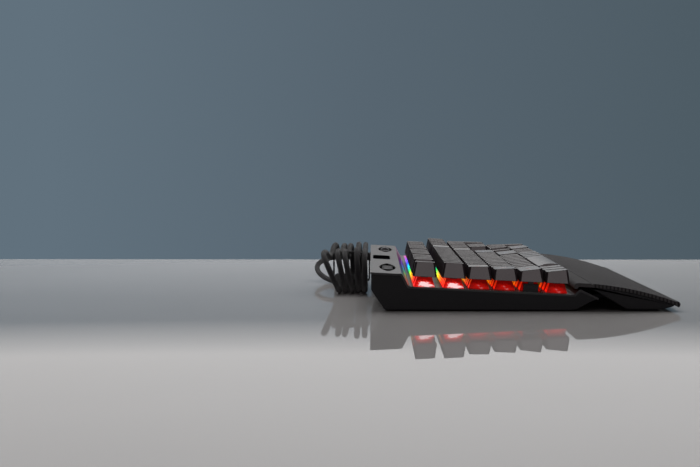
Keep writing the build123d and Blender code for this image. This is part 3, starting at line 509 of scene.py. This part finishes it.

# The slope's painted glow, a painted reflection, shows the colour of lamps further along, which
# it meets at a flatter angle
slope_colour_shift = 0.2
further_along = add(tree, "Mapping", Vector=place, Location=(slope_colour_shift, 0, 0)).outputs[0]
plate_glow_colour = add(tree, "MixRGB", Fac=slope_glow_band, Color1=light_colour(tree, place),
                   Color2=light_colour(tree, further_along)).outputs[0]
# Painted shade: the deck under the caps, and the glowing patch, is painted dark and less metallic
under_caps = add(tree, "MapRange", _0=axes.outputs["Y"], _1=deck_start - 0.009,
                 _2=deck_start - 0.013, _3=0.0, _4=0.75).outputs[0]
in_front = add(tree, "MapRange", _0=axes.outputs["Y"], _1=key_field_front - 0.001,
               _2=key_field_front + 0.001).outputs[0]
painted_shade_mask = add(tree, "Math", {"operation": "MULTIPLY"}, _0=under_caps, _1=in_front).outputs[0]
painted_shade_mask = add(tree, "Math", {"operation": "MAXIMUM"}, _0=painted_shade_mask, _1=deck_glow_patch).outputs[0]
sheet_colour = add(tree, "MixRGB", Fac=painted_shade_mask, Color1=sheet_colour, Color2=linear("26302D")).outputs[0]
# Painted shade: the faces at the sheet's ends are painted darker
endways = add(tree, "Math", {"operation": "ABSOLUTE"}, _0=normal.outputs["X"]).outputs[0]
painted_dark_ends = add(tree, "MapRange", _0=endways, _1=0.5, _2=0.9, _3=0.0, _4=0.6).outputs[0]
sheet_colour = add(tree, "MixRGB", Fac=painted_dark_ends, Color1=sheet_colour, Color2=linear("141414")).outputs[0]
metal = add(tree, "MapRange", _0=painted_shade_mask, _1=0.0, _2=0.75, _3=1.0, _4=0.25).outputs[0]
finish_material(tree, add(tree, "BsdfPrincipled", Base_Color=sheet_colour, Metallic=metal,
                          Roughness=sheet_gloss, Normal=scratch_bump, Emission_Color=plate_glow_colour,
                          Emission_Strength=plate_painted_glow))
dress(plate, brushed)


# The key switches: two-part housings of clear polycarbonate, clipped into the plate and
# soldered to the board. The lamp on the board that shines up through the rear half of each is not
# modelled; its light is a painted glow on the housing, painted brighter in the two rear rows.
layout_units = 22.5
layout_left = -layout_units / 2 * key_unit
row_setback = {"function": 0.0399, "number": 0.0613}
for step, row in enumerate(("upper", "home", "lower", "bottom"), 1):
    row_setback[row] = row_setback["number"] + step * key_unit

# For each run of keys: node, row, left edge and width in key units, depth in key units, legends
key_runs = [
    ("key_escape", "function", 0, 1, 1, ["×"]),
    ("keys_function", "function", 2, 1, 1, ["1", "2", "3", "4"]),
    ("keys_function", "function", 6.5, 1, 1, ["5", "6", "7", "8"]),
    ("keys_function", "function", 11, 1, 1, ["9", "10", "11", "12"]),
    ("keys_navigation", "function", 15.25, 1, 1, ["", "", ""]),
    ("key_grave", "number", 0, 1, 1, ["`"]),
    ("keys_number", "number", 1, 1, 1, list("1234567890-=")),
    ("key_backspace", "number", 13, 2, 1, ["←"]),
    ("keys_navigation", "number", 15.25, 1, 1, ["", "", ""]),
    ("keys_pad", "number", 18.5, 1, 1, ["", "/", "*", "-"]),
    ("key_tab", "upper", 0, 1.5, 1, ["→"]),
    ("keys_upper", "upper", 1.5, 1, 1, ["Q"]),
    ("key_w", "upper", 2.5, 1, 1, ["W"]),
    ("keys_upper", "upper", 3.5, 1, 1, list("ERTYUIOP[]")),
    ("keys_upper", "upper", 13.5, 1.5, 1, ["\\"]),
    ("keys_navigation", "upper", 15.25, 1, 1, ["", "", ""]),
    ("keys_pad", "upper", 18.5, 1, 1, list("789")),
    ("key_pad_plus", "upper", 21.5, 1, 2, ["+"]),
    ("key_caps_lock", "home", 0, 1.75, 1, ["⇪"]),
    ("key_a", "home", 1.75, 1, 1, ["A"]),
    ("key_s", "home", 2.75, 1, 1, ["S"]),
    ("key_d", "home", 3.75, 1, 1, ["D"]),
    ("keys_home", "home", 4.75, 1, 1, list("FGHJKL;'")),
    ("key_enter", "home", 12.75, 2.25, 1, ["↵"]),
    ("keys_pad", "home", 18.5, 1, 1, list("456")),
    ("key_left_shift", "lower", 0, 2.25, 1, ["⇧"]),
    ("keys_lower", "lower", 2.25, 1, 1, list("ZXCVBNM,./")),
    ("key_right_shift", "lower", 12.25, 2.75, 1, ["⇧"]),
    ("key_up", "lower", 16.25, 1, 1, ["↑"]),
    ("keys_pad", "lower", 18.5, 1, 1, list("123")),
    ("key_pad_enter", "lower", 21.5, 1, 2, ["↵"]),
    ("key_left_control", "bottom", 0, 1.25, 1, [""]),
    ("keys_modifier", "bottom", 1.25, 1.25, 1, ["", ""]),
    ("key_space", "bottom", 3.75, 6.25, 1, [""]),
    ("keys_modifier", "bottom", 10, 1.25, 1, ["", "", "", ""]),
    ("key_left", "bottom", 15.25, 1, 1, ["←"]),
    ("key_down", "bottom", 16.25, 1, 1, ["↓"]),
    ("key_right", "bottom", 17.25, 1, 1, ["→"]),
    ("keys_pad", "bottom", 18.5, 2, 1, ["0"]),
    ("keys_pad", "bottom", 20.5, 1, 1, ["."]),
]


def key_centres(row, left, units, deep, legends):
    """Where each key of a run stands, as x and setback."""
    first = layout_left + (left + units / 2) * key_unit
    setback = row_setback[row] + (deep - 1) * key_unit / 2
    return [(first + number * units * key_unit, setback) for number in range(len(legends))]


def on_deck(x, setback, rise=0.0):
    """A matrix whose origin is on the deck, leaning with it."""
    height = slope_foot_height - math.tan(deck_tilt) * (setback - slope_foot)
    lean = Matrix.Rotation(deck_tilt, 4, "X")
    return Matrix.Translation((x, rear_edge - setback, height)) @ lean @ Matrix.Translation((0, 0, rise))


def select_faces(piece, test):
    """Leaves edit mode on, with only the faces that pass the test selected."""
    bpy.ops.object.mode_set(mode="OBJECT")
    bpy.ops.object.select_all(action="DESELECT")
    piece.select_set(True)
    bpy.context.view_layer.objects.active = piece
    bpy.ops.object.mode_set(mode="EDIT")
    bpy.ops.mesh.select_mode(type="FACE")
    bpy.ops.mesh.select_all(action="DESELECT")
    bpy.ops.object.mode_set(mode="OBJECT")
    for face in piece.data.polygons:
        face.select = test(face)
    bpy.ops.object.mode_set(mode="EDIT")


def joined(pieces, name):
    bpy.ops.object.select_all(action="DESELECT")
    for piece in pieces:
        piece.select_set(True)
    bpy.context.view_layer.objects.active = pieces[0]
    if len(pieces) > 1:
        bpy.ops.object.join()
    bpy.context.object.name = name
    return bpy.context.object


switch_rim, switch_height, switch_top = 0.0154, 0.0066, 0.0112
top_border = 0.0012
stem_hole, stem_hole_depth = (0.0075, 0.0057), 0.004
bpy.ops.object.select_all(action="DESELECT")
bpy.ops.mesh.primitive_cube_add(size=1)
switch = bpy.context.object
switch.scale = (switch_rim, switch_rim, switch_height)
switch.location = (0, 0, switch_height / 2)
bpy.ops.object.transform_apply(location=True, scale=True)
select_faces(switch, lambda face: face.normal.z > 0.9)
narrowing = switch_top / switch_rim
bpy.ops.transform.resize(value=(narrowing, narrowing, 1))
bpy.ops.mesh.inset(thickness=top_border)
top_side = switch_top - 2 * top_border
bpy.ops.transform.resize(value=(stem_hole[0] / top_side, stem_hole[1] / top_side, 1))
bpy.ops.mesh.extrude_region_move(TRANSFORM_OT_translate={"value": (0, 0, -stem_hole_depth)})
select_faces(switch, lambda face: face.normal.z < -0.9)
bpy.ops.mesh.delete(type="FACE")
bpy.ops.object.mode_set(mode="OBJECT")

# Each housing keeps its own places in millimetres, and the strength of its painted glow
housing_place = switch.data.attributes.new("housing_place", "FLOAT_VECTOR", "POINT")
for vertex, value in zip(switch.data.vertices, housing_place.data):
    value.vector = vertex.co * 1000
switch.data.attributes.new("painted_glow_power", "FLOAT", "POINT")
bright_glow, plain_glow = 1.0, 0.5

switches = []
for node, *run in key_runs:
    for x, setback in key_centres(*run):
        copy = bpy.data.objects.new("switch", switch.data.copy())
        scene.collection.objects.link(copy)
        copy.data.transform(on_deck(x, setback))
        for value in copy.data.attributes["painted_glow_power"].data:
            value.value = bright_glow if run[0] in ("function", "number") else plain_glow
        switches.append(copy)
bpy.data.objects.remove(switch)
switch_housings = joined(switches, "switch_housings_clear")

# Clear polycarbonate: glossy, with its lamp's light painted on as a glow in the lamp's colour. Over
# the lamp's lens and along the moulded foot, which pipe the light out, the painted glow is nearly
# white, with a ragged edge of streaks a millimetre or two wide.
polycarbonate, tree = new_material("clear polycarbonate over a lamp")
hue = light_colour(tree, add(tree, "TexCoord").outputs["Object"])
inside = add(tree, "Attribute", {"attribute_name": "housing_place"}).outputs["Vector"]
streaks = add(tree, "TexNoise", Vector=inside, Scale=0.8, Detail=3.0).outputs["Color"]
ragged = inside
for share in (1.0, 0.8):
    ragged = add(tree, "MixRGB", {"blend_type": "LINEAR_LIGHT"}, Fac=share, Color1=ragged,
                 Color2=streaks).outputs[0]

# Two spots in the housing's own millimetres, long from front to rear: the lens's lies 2.5 mm up,
# the foot's 1 mm
lens_glow = add(tree, "Mapping", Vector=ragged, Location=(0, -0.05, -0.95), Scale=(0, 0.14, 0.38)).outputs[0]
foot_glow = add(tree, "Mapping", Vector=ragged, Location=(0, 0.1, -0.5), Scale=(0, 0.085, 0.5)).outputs[0]
lens_glow = add(tree, "TexGradient", {"gradient_type": "SPHERICAL"}, Vector=lens_glow).outputs["Fac"]
foot_glow = add(tree, "TexGradient", {"gradient_type": "SPHERICAL"}, Vector=foot_glow).outputs["Fac"]
near_lamp = add(tree, "Math", {"operation": "MAXIMUM"}, _0=lens_glow, _1=foot_glow).outputs[0]
power = add(tree, "Attribute", {"attribute_name": "painted_glow_power"}).outputs["Fac"]
near_lamp = add(tree, "Math", {"operation": "MULTIPLY"}, _0=near_lamp, _1=power).outputs[0]
whiteness = add(tree, "MapRange", _0=near_lamp, _1=0.4, _2=0.6, _3=0.0, _4=0.75).outputs[0]
housing_glow_colour = add(tree, "MixRGB", Fac=whiteness, Color1=hue, Color2=linear("FFF0F2")).outputs[0]
painted_glow_power = add(tree, "MapRange", _0=near_lamp, _1=0.0, _2=0.6, _3=0.2, _4=1.0).outputs[0]
# The painted glow is up to 4.5 times as strong on faces that look rearwards, and weaker in the four front
# rows
rearward = add(tree, "SeparateXYZ", Vector=add(tree, "NewGeometry").outputs["Normal"]).outputs["Y"]
rearward_glow_boost = add(tree, "MapRange", _0=rearward, _1=0.6, _2=0.7, _3=1.0, _4=4.5).outputs[0]
painted_glow_power = add(tree, "Math", {"operation": "MULTIPLY"}, _0=painted_glow_power, _1=rearward_glow_boost).outputs[0]
row_power = add(tree, "MapRange", _0=power, _1=plain_glow, _2=bright_glow, _3=0.55, _4=1.0).outputs[0]
painted_glow_power = add(tree, "Math", {"operation": "MULTIPLY"}, _0=painted_glow_power, _1=row_power).outputs[0]
# The housing is painted dark red, with hardly any specular, as painted shade and red lamp light under the
# caps
finish_material(tree, add(tree, "BsdfPrincipled", Base_Color=linear("180808"), Roughness=0.2, IOR=1.2,
                          Specular_IOR_Level=0.1, Emission_Color=housing_glow_colour,
                          Emission_Strength=painted_glow_power))
dress(switch_housings, polycarbonate)
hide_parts("switch_housings")
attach(switch_housings, "keyboard")

# Nylon: dark and waxy
stabiliser_nylon = moulded("stabiliser nylon", "141415", 0.45, 0.4, 0.01)
dress(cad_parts["stabiliser_housings"], stabiliser_nylon)


# The keycaps: double-shot ABS, black with a fine satin grain, raised on their stems.
# Their legends are the second shot, clear to the lamp below, so they show its colour. The tops
# and ends have a satin shine, and the faces towards the neighbouring rows are made matt, with hardly
# any shine, as painted shade in the narrow gaps between the rows.
cap_rise = 0.0073
cap_height = {"function": 0.0108, "number": 0.0111, "upper": 0.0095, "home": 0.0088, "lower": 0.0090,
              "bottom": 0.0092}
legend_size = 0.0052
legend_lift, legend_depth = 0.00004, 0.00012
legend_set_back, legend_start = 0.0015, 0.004

# The black shot is faintly warm: satin on the tops and ends, dull on the faces towards the rows as painted
# shade
double_shot = moulded("satin black ABS keycap", "241E20", 0.2, 0.3, 0.0008)
painted_shade_faces = moulded("matt black ABS keycap as painted shade", "241E20", 0.5, 0.3, 0.0008)
painted_shade_faces.node_tree.nodes["Principled BSDF"].inputs["Specular IOR Level"].default_value = 0.03

# The lamp's light through the clear shot is painted on as a soft glow in the lamp's colour
legend_shot, tree = new_material("clear ABS legend")
hue = light_colour(tree, add(tree, "TexCoord").outputs["Object"])
soft_hue = add(tree, "MixRGB", Fac=0.45, Color1=hue, Color2=linear("FFFFFF")).outputs[0]
finish_material(tree, add(tree, "BsdfPrincipled", Base_Color=linear("8A8789"), Roughness=0.4,
                          Emission_Color=soft_hue, Emission_Strength=0.2))


def legend(text, place):
    """A sign as a flat mesh, set at its place."""
    bpy.ops.object.select_all(action="DESELECT")
    bpy.ops.object.text_add()
    letter = bpy.context.object
    letter.data.body = text
    letter.data.size = legend_size
    letter.data.align_x, letter.data.align_y = "CENTER", "CENTER"
    letter.data.resolution_u = 3
    bpy.ops.object.convert(target="MESH")
    letter = bpy.context.object
    letter.data.transform(place)
    return letter


def thicken(signs):
    """Gives the active object's flat signs their depth."""
    inlay = signs.modifiers.new("inlay", "SOLIDIFY")
    inlay.thickness = legend_depth
    inlay.offset = -1
    bpy.ops.object.modifier_apply(modifier="inlay")


cap_legends = {}
for node, row, left, units, deep, legends in key_runs:
    for text, (x, setback) in zip(legends, key_centres(row, left, units, deep, legends)):
        if text:
            top = on_deck(x, setback, cap_rise + cap_height[row])
            above = top @ Matrix.Translation((0, legend_set_back, legend_start))
            cap_legends.setdefault(node, []).append(legend(text, above))


def fill_step(cap):
    """Brings the low front part of a stepped top up to the level of its rear part. The step between
    them is a low face that looks forwards and a little upwards."""
    tallest_step, tallest_rise, low_part_depth, slack = 0.002, 0.0017, 0.017, 0.001
    places = [vertex.co for vertex in cap.data.vertices]
    tops = [face for face in cap.data.polygons if face.normal.z > 0.9]
    for step in cap.data.polygons:
        corners = set(step.vertices)
        heights = [places[corner].z for corner in corners]
        faces_front = step.normal.y < -0.98 and 0.02 < step.normal.z < 0.15
        if faces_front and max(heights) - min(heights) < tallest_step:
            beside = [top for top in tops if len(corners & set(top.vertices)) > 1]
            rear = max(beside, key=lambda top: top.center.y)
            reach = max(abs(places[corner].x - step.center.x) for corner in corners) + slack
            for place in places:
                ahead = step.center.y + 0.0003 - place.y
                if abs(place.x - step.center.x) < reach and 0 < ahead < low_part_depth:
                    rise = (rear.center - place).dot(rear.normal) / rear.normal.z
                    if 0 < rise < tallest_rise:
                        place.z += rise


for node in sorted({run[0] for run in key_runs}):
    cap = soften(node, node, 0.0003, reshape=fill_step)
    dress(cap, double_shot)
    cap.data.materials.append(painted_shade_faces)
    for face in cap.data.polygons:
        faces_a_row = abs(face.normal.y) > 0.45
        face.material_index = int(faces_a_row)
    if node in cap_legends:
        legends = joined(cap_legends[node], node + "_legends")
        dress(legends, legend_shot)
        drop = legends.modifiers.new("drop", "SHRINKWRAP")
        drop.target = cap
        drop.wrap_method = "PROJECT"
        drop.use_project_z = True
        drop.use_negative_direction = True
        drop.use_positive_direction = False
        drop.offset = legend_lift
        bpy.ops.object.modifier_apply(modifier="drop")
        thicken(legends)
        cap = joined([cap, legends], node + "_finished")


# The controls in the rear strip: two lens-shaped inserts in matt black ABS, and between them one
# long pane of smoked acrylic with a matt face, each held by its flange under the plate. Through
# the inserts come four small ABS buttons and a turned and knurled aluminium roller on its axle.

# Matt black ABS: it swallows the light, and has faint ripples about 11 mm wide
matt_black, tree = new_material("matt black ABS insert")
place = add(tree, "TexCoord").outputs["Object"]
ripple = add(tree, "TexNoise", Vector=place, Scale=90.0, Detail=1.0).outputs["Fac"]
ripple_bump = add(tree, "Bump", Strength=0.15, Distance=0.0001, Height=ripple).outputs[0]
finish_material(tree, add(tree, "BsdfPrincipled", Base_Color=linear("0A0A0B"), Roughness=0.5,
                          Specular_IOR_Level=0.0, Normal=ripple_bump))
for hand in ("left", "right"):
    panel = soften("control_panel_" + hand, "keyboard", 0.0002)
    dress(panel, matt_black)

# Smoked acrylic with an etched face: the darkest piece of the strip, with no mirror image
smoked, tree = new_material("smoked matt acrylic")
finish_material(tree, add(tree, "BsdfPrincipled", Base_Color=linear("030304"), Roughness=0.5,
                          Specular_IOR_Level=0.0))
window = soften("indicator_window", "keyboard", 0.0003)
dress(window, smoked)

# Satin ABS: a little paler than the insert, so the buttons stand out
button_abs = moulded("satin black ABS button", "2B2B2E", 0.38, 0.3, 0.01)
for node in ("profile_button", "brightness_button", "lock_button", "mute_button"):
    button = soften(node, node, 0.0002)
    dress(button, button_abs)

# Knurled and anodised aluminium: dark grey, with a glint on each ridge
turned, tree = new_material("knurled anodised aluminium")
finish_material(tree, add(tree, "BsdfPrincipled", Base_Color=linear("5B5B60"), Metallic=1.0, Roughness=0.34))
roller = soften("volume_roller", "volume_roller", 0.0001, segments=1)
dress(roller, turned)


# The media keys: four low caps of black silicone-backed ABS over rubber domes, above the
# number pad. Each has its usual sign, pad printed in pale grey.

# Satin ABS under a matt ink: the ink stays pale from every side, and the cap takes a soft shine
media_abs = moulded("satin black ABS media key", "29292C", 0.4, 0.3, 0.01)
pale_ink, tree = new_material("pale printing ink")
finish_material(tree, add(tree, "BsdfPrincipled", Base_Color=linear("B5B5B8"), Roughness=0.5))
media_first, media_rise = 19.0, 0.0052
media_signs = {"media_stop": "■", "media_previous": "◀", "media_play": "▶", "media_next": "▶"}
for number, (node, sign) in enumerate(media_signs.items()):
    key = soften(node, node, 0.0004)
    dress(key, media_abs)
    x = layout_left + (media_first + number) * key_unit
    mark = legend(sign, on_deck(x, row_setback["function"], media_rise + legend_lift))
    dress(mark, pale_ink)
    thicken(mark)
    key = joined([key, mark], node + "_finished")


# The palm rest: a soft-touch skin with rows of small dimples, moulded over a wedge of black ABS.
# Two tongues under its rear edge plug into the tray, and three pads keep it from sliding.
skin = soften("palm_rest_skin", "palm_rest", 0.0004)

# Soft-touch elastomer: matt, with dimples in a honeycomb order over a grain of a third of a
# millimetre. The dimples are drawn wider than real ones, so that they show. The band next to
# the tray is plain.
soft_touch, tree = new_material("dimpled soft-touch elastomer")
place = add(tree, "TexCoord").outputs["Object"]
dimple_pitch_mm = 2.4
dimples_from, dimples_full = rear_edge - 0.1642, rear_edge - 0.1646
axes = add(tree, "SeparateXYZ", Vector=place)
turns = math.tau * 1000 / dimple_pitch_mm
across = add(tree, "Math", {"operation": "MULTIPLY"}, _0=axes.outputs["X"], _1=turns).outputs[0]
down = add(tree, "Math", {"operation": "MULTIPLY"}, _0=axes.outputs["Y"],
           _1=turns * math.sqrt(3) / 2).outputs[0]
half = add(tree, "Math", {"operation": "MULTIPLY"}, _0=across, _1=0.5).outputs[0]
first = add(tree, "Math", {"operation": "COSINE"}, _0=across).outputs[0]
slanted = add(tree, "Math", {"operation": "ADD"}, _0=half, _1=down).outputs[0]
second = add(tree, "Math", {"operation": "COSINE"}, _0=slanted).outputs[0]
slanted = add(tree, "Math", {"operation": "SUBTRACT"}, _0=half, _1=down).outputs[0]
third = add(tree, "Math", {"operation": "COSINE"}, _0=slanted).outputs[0]
lattice = add(tree, "Math", {"operation": "ADD"}, _0=first, _1=second).outputs[0]
lattice = add(tree, "Math", {"operation": "ADD"}, _0=lattice, _1=third).outputs[0]
dimple = add(tree, "MapRange", _0=lattice, _1=0.6, _2=2.2).outputs[0]
textured = add(tree, "MapRange", _0=axes.outputs["Y"], _1=dimples_full, _2=dimples_from, _3=1.0,
               _4=0.0).outputs[0]
dimple = add(tree, "Math", {"operation": "MULTIPLY"}, _0=dimple, _1=textured).outputs[0]
grain = add(tree, "TexNoise", Vector=place, Scale=3000.0, Detail=1.0).outputs["Fac"]
relief = add(tree, "Math", {"operation": "MULTIPLY_ADD"}, _0=grain, _1=0.12, _2=dimple).outputs[0]
skin_bump = add(tree, "Bump", {"invert": True}, Strength=0.8, Distance=0.0004, Height=relief).outputs[0]
# The dimples are painted darker, as painted shade in their hollows
skin_painted_dimple_shade = ramp(tree, dimple, [(0.0, "343334"), (1.0, "101011")])
finish_material(tree, add(tree, "BsdfPrincipled", Base_Color=skin_painted_dimple_shade, Roughness=0.65,
                          Specular_IOR_Level=0.02, Normal=skin_bump, Sheen_Weight=0.04,
                          Sheen_Roughness=0.5))
dress(skin, soft_touch)
rest_base = soften("palm_rest_base", "palm_rest", 0.001, segments=3)
dress(rest_base, abs_black)
dress(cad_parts["palm_rest_hooks"], abs_black)
dress(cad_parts["palm_rest_pads"], foot_rubber)
